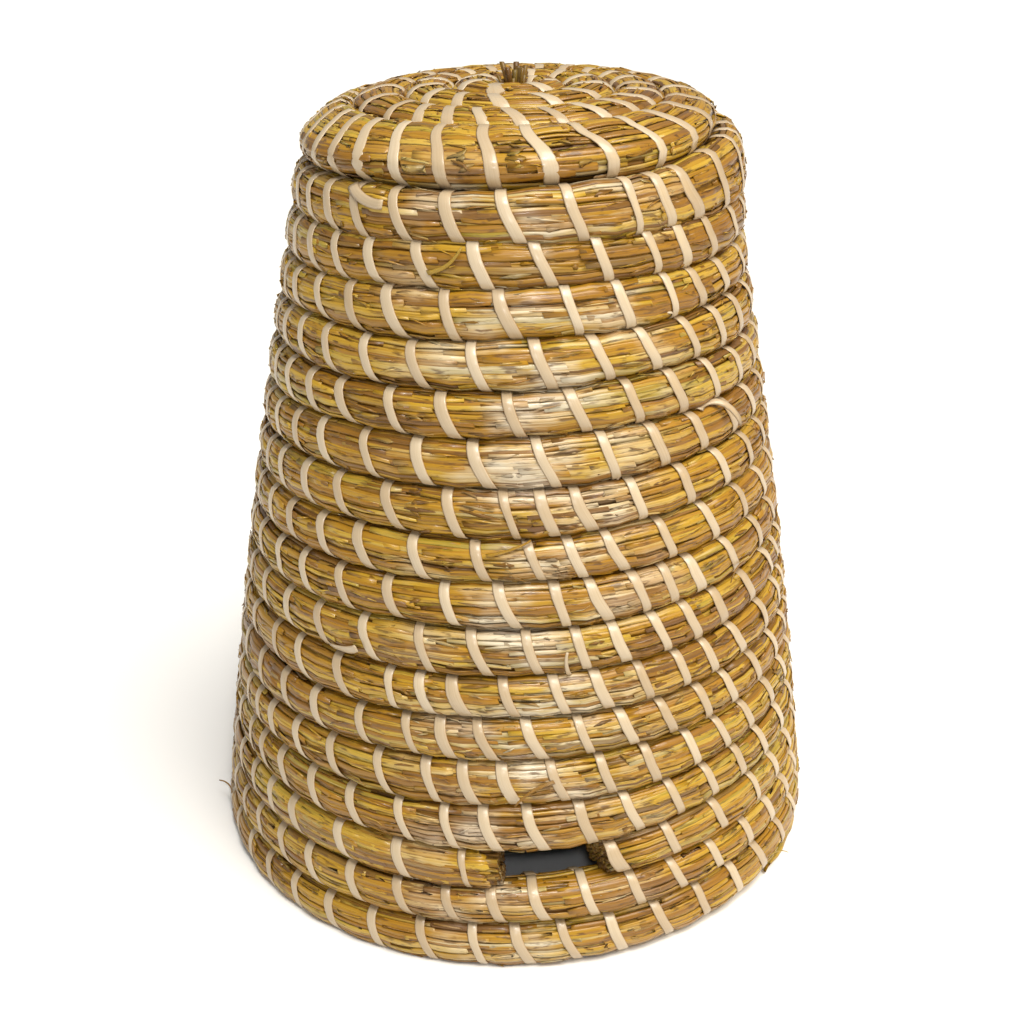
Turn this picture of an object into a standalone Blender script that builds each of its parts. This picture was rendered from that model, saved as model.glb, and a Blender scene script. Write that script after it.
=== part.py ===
"""A tall coiled-straw bee skep, modelled piece by piece.

One straw rope is wound from the centre of the crown down to the foot and sewn with lengths of
split cane. A gap in the third course from the foot is the bees' entrance, so the straw is in two
lengths: the upper rope (crown and wall) and the foot rope. Metres, +Z up. The origin is on the
ground under the middle of the foot, and the entrance looks towards -Y.
"""
import math

import bmesh
import bpy
import numpy as np
from mathutils import Vector

# Overall form, measured to the outside of the straw
HEIGHT = 0.491
FOOT_DIAMETER = 0.418
SHOULDER_DIAMETER = 0.249
WALL_BULGE = 0.0058
CROWN_DEPTH = 0.029
CROWN_INWARD_POWER = 0.78
CROWN_UPWARD_POWER = 0.66

# The straw rope
COURSE_PITCH = 0.027
SEAM_GAP = 0.0017
FOOT_TIP_THICKNESS = 0.004
CROWN_TIP_THICKNESS = 0.003
LANDING_AZIMUTH = math.radians(-112.0)
POINTS_PER_LOOP = 24
FACE_SAMPLES = 12
FOOT_CUT_SHARE = 0.1
SHORTEST_END_SHARE = 0.2

# The entrance, a gap left in one course
ENTRANCE_COURSE = 3
ENTRANCE_WIDTH = 0.056
ENTRANCE_OFFSET = 0.020

# The tuft of straw ends in the middle of the crown
TUFT_DIAMETER = 0.012
TUFT_STAND = 0.010
TUFT_ROOT = 0.016
TUFT_CLEARANCE = 0.0006
TUFT_SIDES = 12

# The split cane that binds the rope
CANE_WIDTH = 0.0065
CANE_THICKNESS = 0.0007
CANE_CLEARANCE = 0.0006
STITCHES_PER_TURN = 12
STITCH_LEAN = 0.010
STITCH_BESIDE = 0.0078
CROWN_UNDER_RUN = 0.004
CROWN_LEAN = math.radians(25.0)
INNER_CROWN_RADIUS = 0.048
SMALLEST_SEWN_RADIUS = 0.024
ENTRANCE_CANE_MARGIN = 0.012
INSIDE_SPREAD = 2.0

TURN = 2.0 * math.pi
SECTION_SIDES = 6
FLAT_SHARE = math.cos(math.pi / SECTION_SIDES)
ROPE_THICKNESS = COURSE_PITCH - SEAM_GAP
HALF_ROPE = ROPE_THICKNESS / 2.0
ROPE_CORNER = HALF_ROPE / FLAT_SHARE
FOOT_CUT = FOOT_CUT_SHARE * ROPE_THICKNESS


# Profile of the middle of the straw, from the ground to the axis

def middle_profile():
    """Distance, radius and height along the profile, as three arrays.

    The distance is measured on the inner side, where the courses meet as the wall bends inwards.
    """
    top = HEIGHT - ROPE_CORNER
    spring = top - CROWN_DEPTH
    foot = FOOT_DIAMETER / 2.0 - ROPE_CORNER
    shoulder = SHOULDER_DIAMETER / 2.0 - ROPE_CORNER
    steps = 90
    wall_heights = np.linspace(0.0, spring, steps, endpoint=False)
    turn = np.linspace(0.0, math.pi / 2.0, 2 * steps)
    crown_heights = spring + CROWN_DEPTH * np.sin(turn) ** CROWN_UPWARD_POWER
    inward_share = np.abs(np.cos(turn)) ** CROWN_INWARD_POWER
    closing = np.concatenate([np.ones(steps), inward_share])
    closing[-1] = 0.0
    heights = np.concatenate([wall_heights, crown_heights])
    share = heights / top
    wall = foot + (shoulder - foot) * share + 4.0 * WALL_BULGE * share * (1.0 - share)
    radii = wall * closing
    inward = -np.gradient(radii)
    upward = np.gradient(heights)
    length = np.hypot(inward, upward)
    inner_radii = radii - ROPE_CORNER / 2.0 * upward / length
    inner_heights = heights - ROPE_CORNER / 2.0 * inward / length
    steps_along = np.hypot(np.diff(inner_radii), np.diff(inner_heights))
    along = np.concatenate([[0.0], np.cumsum(steps_along)])
    return along, radii, heights


ALONG, RADII, HEIGHTS = middle_profile()
PROFILE_LENGTH = ALONG[-1]
LEAN_STEP = COURSE_PITCH / 8.0


def on_profile(along):
    """Radius, height and inward lean of the profile at one distance from the ground."""
    radius = float(np.interp(along, ALONG, RADII))
    height = float(np.interp(along, ALONG, HEIGHTS))
    low = max(along - LEAN_STEP, 0.0)
    high = min(along + LEAN_STEP, PROFILE_LENGTH)
    inward = float(np.interp(low, ALONG, RADII) - np.interp(high, ALONG, RADII))
    upward = float(np.interp(high, ALONG, HEIGHTS) - np.interp(low, ALONG, HEIGHTS))
    return radius, height, math.atan2(inward, upward)


# The winding: where the rope is after each angle, counted from one turn below its landing

FOOT_TIP = TURN * (1.0 - (ROPE_THICKNESS - FOOT_TIP_THICKNESS) / COURSE_PITCH)
CROWN_HOLE = TUFT_DIAMETER / 2.0 + TUFT_CLEARANCE


def lower_face(angle):
    """Distance along the profile of the rope's lower face, above the last turn of the foot."""
    return COURSE_PITCH * (angle - TURN) / TURN - FOOT_CUT


def rope_at(angle):
    """Distance along the profile and half thickness of the rope at one winding angle."""
    if angle < TURN:
        half = HALF_ROPE - (COURSE_PITCH / 2.0) * (TURN - angle) / TURN
        return half - FOOT_CUT, half
    half = min(HALF_ROPE, (PROFILE_LENGTH - CROWN_HOLE - lower_face(angle)) / 2.0)
    return lower_face(angle) + half, half


def crown_tip_angle():
    """The winding angle at which the rope has narrowed to its tip in the crown."""
    reach = PROFILE_LENGTH - CROWN_HOLE - CROWN_TIP_THICKNESS + FOOT_CUT
    return TURN + TURN * reach / COURSE_PITCH


def entrance_angles():
    """Winding angles of the two cut ends beside the entrance, foot rope first."""
    along = (ENTRANCE_COURSE - 0.5) * COURSE_PITCH
    radius = on_profile(along)[0]
    middle = math.asin(ENTRANCE_OFFSET / radius) - math.pi / 2.0
    half_gap = math.asin(ENTRANCE_WIDTH / 2.0 / radius)
    turn_up = (middle - LANDING_AZIMUTH) % TURN
    centre = TURN * ENTRANCE_COURSE + turn_up
    return centre - half_gap, centre + half_gap


CROWN_TIP = crown_tip_angle()
FOOT_ROPE_END, UPPER_ROPE_START = entrance_angles()


class Section:
    """The rope's six-sided section at one winding angle."""

    def __init__(self, angle):
        along, half = rope_at(angle)
        radius, height, self.lean = on_profile(along)
        azimuth = LANDING_AZIMUTH + angle
        outward = Vector((math.cos(azimuth), math.sin(azimuth), 0.0))
        upward = Vector((0.0, 0.0, 1.0))
        self.radius = radius
        self.seam_radius = radius + half * math.sin(self.lean)
        self.half = half
        self.centre = outward * radius + upward * height
        self.face_out = outward * math.cos(self.lean) + upward * math.sin(self.lean)
        self.face_up = upward * math.cos(self.lean) - outward * math.sin(self.lean)

    def direction(self, corner):
        turned = TURN * corner / SECTION_SIDES
        return self.face_out * math.cos(turned) + self.face_up * math.sin(turned)

    def corner(self, corner, lift=0.0):
        """A corner of the section, moved out so that the faces beside it are cleared by lift."""
        return self.centre + self.direction(corner) * ((self.half + lift) / FLAT_SHARE)


def winding_angles(start, end):
    """The rope's points: one every 24th of a turn, at the same azimuths on every course."""
    step = TURN / POINTS_PER_LOOP
    first = math.floor(start / step) + 1
    last = math.ceil(end / step) - 1
    inside = [step * index for index in range(first, last + 1)]
    margin = SHORTEST_END_SHARE * step
    kept = [angle for angle in inside if start + margin < angle < end - margin]
    return [start] + kept + [end]


# Materials

def material(name, colour, roughness):
    made = bpy.data.materials.new(name)
    made.use_nodes = True
    shader = made.node_tree.nodes["Principled BSDF"]
    shader.inputs["Base Color"].default_value = (*colour, 1.0)
    shader.inputs["Roughness"].default_value = roughness
    shader.inputs["Metallic"].default_value = 0.0
    made.diffuse_color = (*colour, 1.0)
    return made


def mesh_object(name, mesh, look):
    made = bpy.data.objects.new(name, mesh)
    made.data.materials.clear()
    made.data.materials.append(look)
    bpy.context.scene.collection.objects.link(made)
    return made


# The two lengths of straw rope

def rope_tube(name, start, end, look):
    """One unbroken six-sided tube along the winding, closed at both cut ends."""
    angles = winding_angles(start, end)
    sections = [Section(angle) for angle in angles]
    curve = bpy.data.curves.new(name, "CURVE")
    curve.dimensions = "3D"
    curve.twist_mode = "Z_UP"
    curve.bevel_depth = ROPE_CORNER
    curve.bevel_resolution = 1
    curve.use_fill_caps = True
    spline = curve.splines.new("POLY")
    spline.points.add(len(sections) - 1)
    for point, section in zip(spline.points, sections):
        point.co = (*section.centre, 1.0)
        point.radius = section.half / HALF_ROPE
        point.tilt = -section.lean
    guide = bpy.data.objects.new(name + "_guide", curve)
    bpy.context.scene.collection.objects.link(guide)
    graph = bpy.context.evaluated_depsgraph_get()
    mesh = bpy.data.meshes.new_from_object(guide.evaluated_get(graph))
    bpy.data.objects.remove(guide)
    mesh.name = name
    tube = bmesh.new()
    tube.from_mesh(mesh)
    bmesh.ops.remove_doubles(tube, verts=tube.verts, dist=1e-6)
    bmesh.ops.recalc_face_normals(tube, faces=tube.faces)
    tube.to_mesh(mesh)
    tube.free()
    return mesh_object(name, mesh, look), sections


def cut_level(rope):
    """Cuts the foot flat on the ground, a tenth of the rope's thickness deep."""
    depth = 4.0 * ROPE_THICKNESS
    width = FOOT_DIAMETER + 4.0 * ROPE_THICKNESS
    slab = bmesh.new()
    bmesh.ops.create_cube(slab, size=1.0)
    bmesh.ops.scale(slab, verts=slab.verts, vec=(width, width, depth))
    bmesh.ops.translate(slab, verts=slab.verts, vec=(0.0, 0.0, -depth / 2.0))
    mesh = bpy.data.meshes.new("foot_cutter")
    slab.to_mesh(mesh)
    slab.free()
    cutter = bpy.data.objects.new("foot_cutter", mesh)
    bpy.context.scene.collection.objects.link(cutter)
    cutter.hide_render = True
    cutter.display_type = "WIRE"
    level = rope.modifiers.new("level_foot", "BOOLEAN")
    level.operation = "DIFFERENCE"
    level.solver = "EXACT"
    level.object = cutter


def face_points(section, corners):
    """Points across one face of a section, between two of its corners."""
    first, second = (section.corner(corner) for corner in corners)
    return [first.lerp(second, index / FACE_SAMPLES) for index in range(FACE_SAMPLES + 1)]


def least_gap(sections):
    """Least distance between the top faces of one turn and the bottom faces of the next."""
    tops = np.array([face_points(section, (2, 1)) for section in sections])
    bottoms = np.array([face_points(section, (4, 5)) for section in sections])
    least = math.inf
    for shift in range(POINTS_PER_LOOP - 1, POINTS_PER_LOOP + 2):
        lower = tops[:-shift, :, None, :]
        upper = bottoms[shift:, None, :, :]
        apart = np.sqrt(((lower - upper) ** 2).sum(axis=-1))
        least = min(least, float(apart.min()))
    return least


# The cane

def cane_corner(angle, shift, corner, lift):
    """A point over a corner line of the rope's facets, shifted along the rope."""
    section = Section(angle)
    moved = angle + shift / section.seam_radius
    step = TURN / POINTS_PER_LOOP
    before = math.floor(moved / step) * step
    share = (moved - before) / step
    first = Section(before).corner(corner, lift)
    second = Section(before + step).corner(corner, lift)
    return first.lerp(second, share)


def stitch_angles():
    """Winding angles of the stitches' tops, each one stepped along from the one below it."""
    start = TURN + FOOT_TIP + TURN / POINTS_PER_LOOP
    spacing = (TURN - drift_at(start)) / STITCHES_PER_TURN
    angles = [start + spacing * index for index in range(STITCHES_PER_TURN)]
    while angles[-1] < CROWN_TIP and Section(angles[-1]).radius > SMALLEST_SEWN_RADIUS:
        above = angles[-STITCHES_PER_TURN] + TURN
        angles.append(above - drift_at(above))
    return angles[:-1]


def drift_at(angle):
    """How far a course's stitches stand behind those below, so that their ends lie side by side."""
    return (STITCH_LEAN + STITCH_BESIDE) / Section(angle).seam_radius


def sewn_angles(start, end):
    """The stitches that one length of rope takes, thinned in the small turns of the crown."""
    kept = []
    for index, angle in enumerate(stitch_angles()):
        section = Section(angle)
        margin = ENTRANCE_CANE_MARGIN / section.radius
        lean = STITCH_LEAN / section.seam_radius
        if angle < start + margin or angle + lean > end - margin:
            continue
        if section.half < HALF_ROPE:
            continue
        if section.radius < INNER_CROWN_RADIUS and index % 2:
            continue
        kept.append(angle)
    return kept


def stitch_path(angle, following):
    """Stations once round the rope: winding angle, shift along it, corner and width."""
    section = Section(angle)
    run = (following - angle) * section.seam_radius
    under = (run - STITCH_LEAN) / 2.0
    width = CANE_WIDTH * INSIDE_SPREAD
    if section.lean > CROWN_LEAN:
        under = min(under, CROWN_UNDER_RUN)
        width = CANE_WIDTH
    return [
        (angle, 0.0, 2, CANE_WIDTH),
        (angle, 0.0, 1, CANE_WIDTH),
        (angle, STITCH_LEAN / 2.0, 0, CANE_WIDTH),
        (angle, STITCH_LEAN, 5, CANE_WIDTH),
        (angle, STITCH_LEAN, 4, CANE_WIDTH),
        (angle, STITCH_LEAN + under, 3, width),
    ]


def cane_length(name, angles, look):
    """One unbroken length of split cane, flat on the straw and crowned outside."""
    spacing = TURN / STITCHES_PER_TURN
    stations = []
    for index, angle in enumerate(angles):
        last = index + 1 == len(angles)
        following = angle + spacing if last else angles[index + 1]
        stations += stitch_path(angle, following)
    stations = stations[:-1]
    shape = bmesh.new()
    rings = []
    for angle, shift, corner, width in stations:
        left = cane_corner(angle, shift - width / 2.0, corner, CANE_CLEARANCE)
        crest = cane_corner(angle, shift, corner, CANE_CLEARANCE + CANE_THICKNESS)
        right = cane_corner(angle, shift + width / 2.0, corner, CANE_CLEARANCE)
        rings.append([shape.verts.new(point) for point in (left, crest, right)])
    for first, second in zip(rings, rings[1:]):
        for side in range(3):
            after = (side + 1) % 3
            shape.faces.new((first[side], first[after], second[after], second[side]))
    shape.faces.new(rings[0])
    shape.faces.new(rings[-1][::-1])
    bmesh.ops.triangulate(shape, faces=shape.faces)
    bmesh.ops.recalc_face_normals(shape, faces=shape.faces)
    mesh = bpy.data.meshes.new(name)
    shape.to_mesh(mesh)
    shape.free()
    return mesh_object(name, mesh, look)


def sew(prefix, start, end, look):
    """Binds one length of rope, a fresh length of cane for about every turn."""
    angles = sewn_angles(start, end)
    lengths = math.ceil((angles[-1] - angles[0]) / TURN)
    share = len(angles) / lengths
    for number in range(lengths):
        group = angles[round(number * share):round((number + 1) * share)]
        cane_length(f"{prefix}_{number + 1:02d}", group, look)


# The tuft in the middle of the crown

def straw_tuft(look):
    """The straw ends that the winding starts round: a plug that spreads a little at its head."""
    half = TUFT_DIAMETER / 2.0
    top = HEIGHT + TUFT_STAND
    middle = HEIGHTS[-1]
    outline = (
        (0.60 * half, middle - TUFT_ROOT),
        (half, middle - 0.5 * TUFT_ROOT),
        (half, middle + 0.3 * TUFT_STAND),
        (0.80 * half, middle + ROPE_CORNER),
        (0.95 * half, top - 0.3 * TUFT_STAND),
        (0.55 * half, top),
    )
    shape = bmesh.new()
    rings = []
    for radius, height in outline:
        ring = []
        for side in range(TUFT_SIDES):
            azimuth = TURN * side / TUFT_SIDES
            place = (radius * math.cos(azimuth), radius * math.sin(azimuth), height)
            ring.append(shape.verts.new(place))
        rings.append(ring)
    for first, second in zip(rings, rings[1:]):
        for side in range(TUFT_SIDES):
            after = (side + 1) % TUFT_SIDES
            shape.faces.new((first[side], first[after], second[after], second[side]))
    shape.faces.new(rings[0][::-1])
    shape.faces.new(rings[-1])
    mesh = bpy.data.meshes.new("crown_tuft")
    shape.to_mesh(mesh)
    shape.free()
    mesh.shade_smooth()
    mesh.set_sharp_from_angle(angle=math.radians(40.0))
    return mesh_object("crown_tuft", mesh, look)


def main():
    for old in list(bpy.data.objects):
        bpy.data.objects.remove(old)
    straw = material("straw", (0.56, 0.37, 0.13), 0.45)
    foot_straw = material("foot_straw", (0.50, 0.34, 0.13), 0.5)
    cane = material("split_cane", (0.74, 0.60, 0.41), 0.4)
    tuft = material("straw_ends", (0.36, 0.22, 0.09), 0.7)

    foot_rope, foot_sections = rope_tube("straw_rope_foot", FOOT_TIP, FOOT_ROPE_END, foot_straw)
    cut_level(foot_rope)
    _, upper_sections = rope_tube("straw_rope_upper", UPPER_ROPE_START, CROWN_TIP, straw)
    loops = (CROWN_TIP - FOOT_TIP) / TURN
    for name, sections in (("foot", foot_sections), ("upper", upper_sections)):
        print(f"least gap of the {name} rope to itself: {1000.0 * least_gap(sections):.2f} mm")
    print(f"loops in all: {loops:.1f}")

    straw_tuft(tuft)
    sew("cane_foot", TURN + FOOT_TIP, FOOT_ROPE_END, cane)
    sew("cane_wall", UPPER_ROPE_START, CROWN_TIP, cane)


main()
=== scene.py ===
"""The looks of a tall coiled-straw bee skep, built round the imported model.

The straw rope is drawn as its stalks and its cane stitches. Each of them is placed in the rope's
own terms: how far along the rope, counted in stitches, which way round its section, and how high
over its surface. Metres, +Z up, the entrance towards -Y.
"""
import math

import bpy
import mathutils
import numpy as np
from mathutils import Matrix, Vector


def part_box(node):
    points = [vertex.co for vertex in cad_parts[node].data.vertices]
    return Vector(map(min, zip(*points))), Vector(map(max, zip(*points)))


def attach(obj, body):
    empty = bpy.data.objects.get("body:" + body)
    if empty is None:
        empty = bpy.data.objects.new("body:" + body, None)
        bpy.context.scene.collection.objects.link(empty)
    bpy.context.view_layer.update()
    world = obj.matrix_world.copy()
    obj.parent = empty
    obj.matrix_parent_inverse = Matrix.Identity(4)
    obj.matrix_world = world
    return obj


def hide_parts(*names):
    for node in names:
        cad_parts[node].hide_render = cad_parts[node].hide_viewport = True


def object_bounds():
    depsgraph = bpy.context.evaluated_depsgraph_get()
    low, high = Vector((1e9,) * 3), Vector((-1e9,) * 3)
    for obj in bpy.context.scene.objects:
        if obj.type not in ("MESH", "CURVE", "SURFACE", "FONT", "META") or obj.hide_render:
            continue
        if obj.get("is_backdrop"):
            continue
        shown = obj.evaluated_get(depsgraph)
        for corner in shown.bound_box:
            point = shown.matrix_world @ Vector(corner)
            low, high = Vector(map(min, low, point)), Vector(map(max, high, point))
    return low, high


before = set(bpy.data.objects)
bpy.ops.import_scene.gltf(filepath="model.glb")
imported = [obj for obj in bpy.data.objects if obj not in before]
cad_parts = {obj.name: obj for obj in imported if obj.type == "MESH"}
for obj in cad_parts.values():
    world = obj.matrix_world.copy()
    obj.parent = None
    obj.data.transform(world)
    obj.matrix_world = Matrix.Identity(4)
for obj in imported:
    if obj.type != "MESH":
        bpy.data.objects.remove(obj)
cad_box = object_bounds()

TURN = 2.0 * math.pi
BODY = "root"
SEED = 7

# The form of the skep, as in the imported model
HEIGHT = 0.491
FOOT_DIAMETER = 0.418
SHOULDER_DIAMETER = 0.249
WALL_BULGE = 0.0058
CROWN_DEPTH = 0.029
CROWN_INWARD_POWER = 0.78
CROWN_UPWARD_POWER = 0.66
COURSE_PITCH = 0.027
ROPE_THICKNESS = 0.0253
ROPE_CORNER = ROPE_THICKNESS / 2.0 / math.cos(math.pi / 6.0)
FOOT_TIP_THICKNESS = 0.004
CROWN_TIP_THICKNESS = 0.003
LANDING_AZIMUTH = math.radians(-112.0)
FOOT_CUT = 0.1 * ROPE_THICKNESS
TUFT_RADIUS = 0.006
TUFT_CLEARANCE = 0.0006
ENTRANCE_COURSE = 3
ENTRANCE_WIDTH = 0.056
ENTRANCE_OFFSET = 0.020
PROFILE_STEPS = 90
LEAN_STEP = COURSE_PITCH / 8.0

# The rope's section, and how far its surface gives way under a stitch
ROPE_HALF_WIDTH = 0.0134
ROPE_TOUCH = 0.0003
SECTION_SQUARENESS = 2.7
TIP_FULLNESS = 0.15
MOST_WEDGE = 0.5
PINCH_DEPTH = 0.0014
LUMP_HEIGHT = 0.0011
GROUND_CLEARANCE = 0.0018
GUIDE_STEPS = 4

# How unevenly the courses lie: their waver, the seams beside the entrance and the askew crown
COURSE_WAVER = 0.0011
WAVES_EACH_TURN = (1.3, 2.7, 4.1, 6.6)
WAVER_FROM = 1.2 * TURN
WAVER_FADE = 3.0 * TURN
SEAM_SHIFTS_AT_SLOT = {-1: 0.003, 0: -0.0015, 1: -0.0035}
SEAM_SHIFT_REACH = 0.5
CROWN_TILT_BACK = 0.052
CROWN_TILT_RIGHT = 0.016
CROWN_ASIDE = 0.0035
CROWN_WIDER = 0.035
CROWN_OVERLAP = 0.0012
CROWN_TILT_FROM = 0.385
CROWN_TILT_FULL = 0.468

# The stitches, laid out on the outside of the rope; from WIDEST_STEP on, angles round the skep
STITCH_SPACING = 0.0255
CROWN_SPACING = 0.0235
CROWN_FROM_COURSE = 16.5
SHOULDER_COURSE = 17.5
STITCH_LEAN = 0.0112
STITCH_BESIDE = 0.0040
SLANT_SWEEP = 1.6
STITCH_JITTER = 0.0022
EVENNESS = 0.33
WIDEST_GAP_EXCESS = 0.36
NARROWEST_GAP = 0.62
FIRST_SEWN_RADIUS = 0.012
LEFT_END_MARGIN = 0.024
RIGHT_END_MARGIN = 0.005
MARGIN_EASE = 0.95
EVENED_STITCHES = 3
WIDEST_STEP = 1.1
PAST_CROWN_TIP = 0.5
PAST_FOOT_TIP = 1.0
BARE_FOOT_TIP = 0.35
BARE_CROWN_TIP = 0.2


# The winding of the rope

def middle_profile():
    """Distance, radius and height along the middle of the straw, from the ground to the axis."""
    top = HEIGHT - ROPE_CORNER
    spring = top - CROWN_DEPTH
    foot = FOOT_DIAMETER / 2.0 - ROPE_CORNER
    shoulder = SHOULDER_DIAMETER / 2.0 - ROPE_CORNER
    wall_heights = np.linspace(0.0, spring, PROFILE_STEPS, endpoint=False)
    turn = np.linspace(0.0, math.pi / 2.0, 2 * PROFILE_STEPS)
    crown_heights = spring + CROWN_DEPTH * np.sin(turn) ** CROWN_UPWARD_POWER
    inward_share = np.abs(np.cos(turn)) ** CROWN_INWARD_POWER
    closing = np.concatenate([np.ones(PROFILE_STEPS), inward_share])
    closing[-1] = 0.0
    heights = np.concatenate([wall_heights, crown_heights])
    share = heights / top
    wall = foot + (shoulder - foot) * share + 4.0 * WALL_BULGE * share * (1.0 - share)
    radii = wall * closing
    inward = -np.gradient(radii)
    upward = np.gradient(heights)
    length = np.hypot(inward, upward)
    inner_radii = radii - ROPE_CORNER / 2.0 * upward / length
    inner_heights = heights - ROPE_CORNER / 2.0 * inward / length
    steps_along = np.hypot(np.diff(inner_radii), np.diff(inner_heights))
    along = np.concatenate([[0.0], np.cumsum(steps_along)])
    return along, radii, heights


ALONG, RADII, HEIGHTS = middle_profile()
PROFILE_LENGTH = ALONG[-1]
FOOT_TIP = TURN * (1.0 - (ROPE_THICKNESS - FOOT_TIP_THICKNESS) / COURSE_PITCH)
CROWN_HOLE = TUFT_RADIUS + TUFT_CLEARANCE
CROWN_REACH = PROFILE_LENGTH - CROWN_HOLE - CROWN_TIP_THICKNESS + FOOT_CUT
CROWN_TIP = TURN + TURN * CROWN_REACH / COURSE_PITCH


def entrance_middle():
    """Winding angle of the middle of the entrance, and half of its width as an angle."""
    along = (ENTRANCE_COURSE - 0.5) * COURSE_PITCH
    radius = float(np.interp(along, ALONG, RADII))
    middle = math.asin(ENTRANCE_OFFSET / radius) - math.pi / 2.0
    half_gap = math.asin(ENTRANCE_WIDTH / 2.0 / radius)
    return TURN * ENTRANCE_COURSE + (middle - LANDING_AZIMUTH) % TURN, half_gap


SLOT_MIDDLE, SLOT_HALF = entrance_middle()
LOWER_ROPE_END = SLOT_MIDDLE - SLOT_HALF
UPPER_ROPE_START = SLOT_MIDDLE + SLOT_HALF


def waver(angle):
    """How far a seam wanders from its even course: a little everywhere, and more at the slot."""
    chance = np.random.default_rng(SEED + 1)
    wander = np.zeros_like(angle)
    for waves in WAVES_EACH_TURN:
        phase = chance.uniform(0.0, TURN)
        wander += np.sin(angle * waves + phase) / 2.0
    shut = np.clip((angle - WAVER_FROM) / TURN, 0.0, 1.0)
    near_crown = np.clip((CROWN_TIP - TURN - angle) / WAVER_FADE, 0.0, 1.0)
    wander *= COURSE_WAVER * shut * near_crown
    for course, shift in SEAM_SHIFTS_AT_SLOT.items():
        away = (angle - SLOT_MIDDLE - TURN * course) / SEAM_SHIFT_REACH
        wander += shift * np.exp(-(away**2))
    return wander


def seam(angle):
    """Distance along the profile of the seam under the rope, and of its end on the ground."""
    rising = COURSE_PITCH * (angle - TURN) / TURN
    return np.clip(rising, 0.0, None) - FOOT_CUT + waver(angle)


def crown_sway(outward, along):
    """How much of the askew crown's lean is felt at a place, and how far it lifts it."""
    radius = np.interp(along, ALONG, RADII)
    height = np.interp(along, ALONG, HEIGHTS)
    share = np.clip((height - CROWN_TILT_FROM) / (CROWN_TILT_FULL - CROWN_TILT_FROM), 0.0, 1.0)
    share = share * share * (3.0 - 2.0 * share)
    lift = radius * (CROWN_TILT_BACK * outward[:, 1] + CROWN_TILT_RIGHT * outward[:, 0])
    return share, share * lift


def profile_step(low, high):
    """How far the profile goes inwards and upwards between two distances along it."""
    inward = np.interp(low, ALONG, RADII) - np.interp(high, ALONG, RADII)
    upward = np.interp(high, ALONG, HEIGHTS) - np.interp(low, ALONG, HEIGHTS)
    return inward, upward


def lean_at(along):
    """How far the wall leans inwards at a distance along the profile, as an angle."""
    return np.arctan2(*profile_step(along - LEAN_STEP, along + LEAN_STEP))


def bend_excess(low, high):
    """How much longer the straw's middle line is than its inner side between two seams."""
    low = np.clip(low, 0.0, PROFILE_LENGTH)
    high = np.clip(high, 0.0, PROFILE_LENGTH)
    return np.clip(np.hypot(*profile_step(low, high)) - (high - low), 0.0, None)


def rope_frames(angles):
    """The rope at some winding angles.

    Its radius, centre, the two ways of its section, its half height, and how much taller its
    outer side is where the wall bends inwards.
    """
    low = seam(angles)
    high = np.minimum(seam(angles + TURN), PROFILE_LENGTH - CROWN_HOLE)
    half = np.maximum((high - low) / 2.0, CROWN_TIP_THICKNESS / 2.0) + bend_excess(low, high) / 2.0
    along = (low + high) / 2.0
    radius = np.interp(along, ALONG, RADII)
    height = np.interp(along, ALONG, HEIGHTS)
    lean = lean_at(along)
    wedge = (lean_at(high) - lean_at(low)) * ROPE_HALF_WIDTH / (2.0 * half)
    azimuth = LANDING_AZIMUTH + angles
    outward = np.stack([np.cos(azimuth), np.sin(azimuth), np.zeros_like(azimuth)], axis=1)
    up = np.array([0.0, 0.0, 1.0])
    low_lift, high_lift = (crown_sway(outward, where)[1] for where in (low, high))
    share = crown_sway(outward, along)[0]
    half = half + np.clip((high_lift - low_lift) / 2.0, 0.0, None) + CROWN_OVERLAP * share
    lift = (low_lift + high_lift) / 2.0
    wide = radius * (1.0 + CROWN_WIDER * share)
    centre = outward * wide[:, None] + up * (height + lift)[:, None]
    centre[:, 0] += CROWN_ASIDE * share
    face_out = outward * np.cos(lean)[:, None] + up * np.sin(lean)[:, None]
    face_up = up * np.cos(lean)[:, None] - outward * np.sin(lean)[:, None]
    return radius, centre, face_out, face_up, half, np.clip(wedge, 0.0, MOST_WEDGE)


def rope_radius(angle):
    return float(rope_frames(np.array([angle]))[0][0])


def beside_entrance(share=1.0):
    """Winding angles of the last stitch before the entrance and the first one after it."""
    radius = rope_radius(SLOT_MIDDLE) + ROPE_HALF_WIDTH
    last = LOWER_ROPE_END - share * LEFT_END_MARGIN / radius
    return last, UPPER_ROPE_START + share * RIGHT_END_MARGIN / radius


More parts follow.
